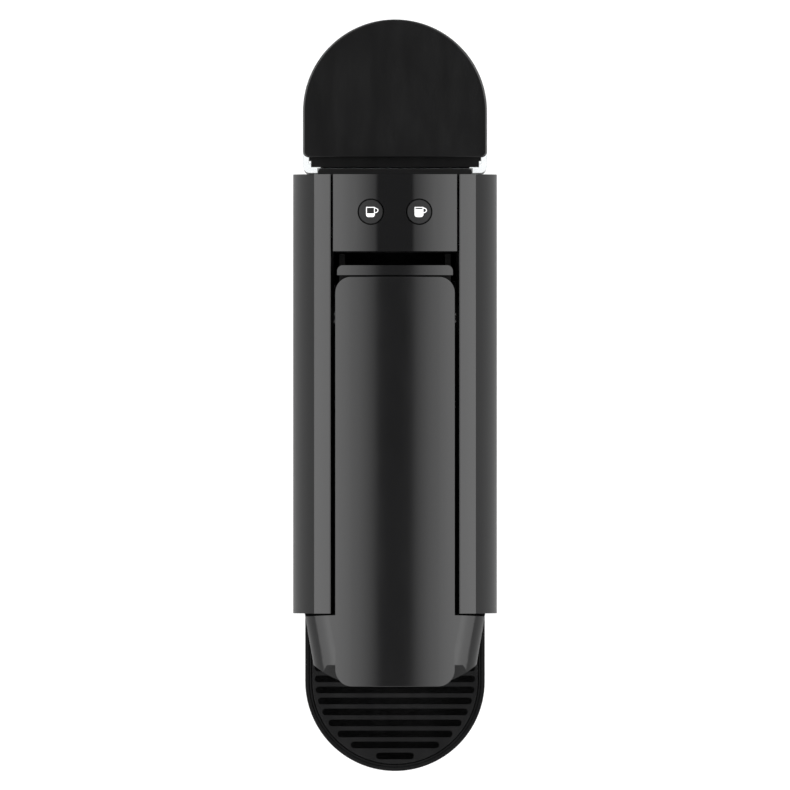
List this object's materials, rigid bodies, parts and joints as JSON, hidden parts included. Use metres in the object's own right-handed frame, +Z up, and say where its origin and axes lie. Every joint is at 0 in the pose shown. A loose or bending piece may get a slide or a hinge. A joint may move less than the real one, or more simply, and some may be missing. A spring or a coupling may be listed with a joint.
{
  "type": "pod coffee machine",
  "caption": "Slim lever-operated capsule coffee machine with clear rear water tank, round-ended drip tray and two cup-size buttons.",
  "frame": {"origin": "on the table under the middle of the machine, at the bottom centre of its box", "axes": "+Z up, -Y towards the cup tray at the front, +Y towards the water tank, X across"},
  "size_m": [0.0896, 0.3317, 0.204],
  "materials": {
    "shell": "black, smooth satin gloss",
    "panel": "black, polished",
    "lever": "black, satin",
    "button": "dark grey with white cup mark",
    "inner_black": "moulded black",
    "grid": "black, ribbed",
    "tray": "black, satin",
    "bin": "black, fine texture",
    "tank_clear": "clear moulded plastic",
    "lid": "black, satin",
    "valve": "black",
    "steel": "turned",
    "cast": "die cast",
    "rubber": "soft",
    "silicone": "translucent hose",
    "grey_plastic": "engineering plastic",
    "coil": "potted coil",
    "board": "circuit board",
    "parts": "electronic parts"
  },
  "bodies": {
    "machine": {"shell_left": "shell", "shell_right": "shell", "rear_casing": "inner_black", "button_panel": "panel", "button_board": "board", "tact_switches": "parts", "nose": "shell", "head_floor": "inner_black", "spout": "inner_black", "coffee_duct": "grey_plastic", "column_cover": "inner_black", "brew_frame": "inner_black", "hinge_pin": "steel", "plate_holder": "grey_plastic", "piercing_plate": "steel", "feed_gland": "grey_plastic", "gland_seal": "rubber", "capsule_deck": "inner_black", "hinge_trough": "inner_black", "capsule_chute": "inner_black", "base_plate": "inner_black", "tank_seat": "inner_black", "seat_seal": "rubber", "inlet_filter": "steel", "feet": "rubber", "cord_gland": "rubber", "thermoblock": "cast", "heater_terminals": "steel", "thermostat": "steel", "block_bracket": "steel", "pump_body": "grey_plastic", "pump_coil": "coil", "pump_mounts": "rubber", "pump_bracket": "steel", "flow_meter": "grey_plastic", "inlet_hose": "silicone", "pump_hose": "silicone", "pressure_hose": "silicone", "feed_hose": "silicone", "control_board": "board", "board_parts": "parts"},
    "lever": {"lever_cover": "lever", "lever_frame": "inner_black", "lever_tail": "lever"},
    "cage": {"capsule_cage": "grey_plastic", "cage_seal": "rubber", "injection_needles": "steel", "follower_pin": "steel", "feed_tube": "steel"},
    "espresso_key": {"button_espresso": "button"},
    "lungo_key": {"button_lungo": "button"},
    "tank": {"water_tank": "tank_clear", "tank_valve": "valve"},
    "lid": {"tank_lid": "lid"},
    "tray": {"drip_tray": "tray", "bin_carrier": "tray", "capsule_bin": "bin", "tray_feet": "rubber"},
    "grid": {"drip_grid": "grid"}
  },
  "joints": [
    {"name": "lever_hinge", "type": "hinge", "parent": "machine", "child": "lever", "pos_m": [0, 0.034, 0.188], "axis": [-1, 0, 0], "range_deg": [0, 85]},
    {"name": "cage_slide", "type": "slide", "parent": "machine", "child": "cage", "axis": [0, 1, 0], "range_m": [0, 0.02968]},
    {"name": "espresso_press", "type": "slide", "parent": "machine", "child": "espresso_key", "axis": [0, 0, -1], "range_m": [0, 0.001], "stiffness_N_per_m": 900},
    {"name": "lungo_press", "type": "slide", "parent": "machine", "child": "lungo_key", "axis": [0, 0, -1], "range_m": [0, 0.001], "stiffness_N_per_m": 900},
    {"name": "tank_lift", "type": "slide", "parent": "machine", "child": "tank", "axis": [0, 0, 1], "range_m": [0, 0.2]},
    {"name": "lid_lift", "type": "slide", "parent": "tank", "child": "lid", "axis": [0, 0, 1], "range_m": [0, 0.05]},
    {"name": "tray_pull", "type": "slide", "parent": "machine", "child": "tray", "axis": [0, -1, 0], "range_m": [0, 0.15]},
    {"name": "grid_lift", "type": "slide", "parent": "tray", "child": "grid", "axis": [0, 0, 1], "range_m": [0, 0.05]}
  ],
  "couplings": [
    {"joint": "cage_slide", "follows": "lever_hinge", "m_per_rad": 0.02}
  ]
}
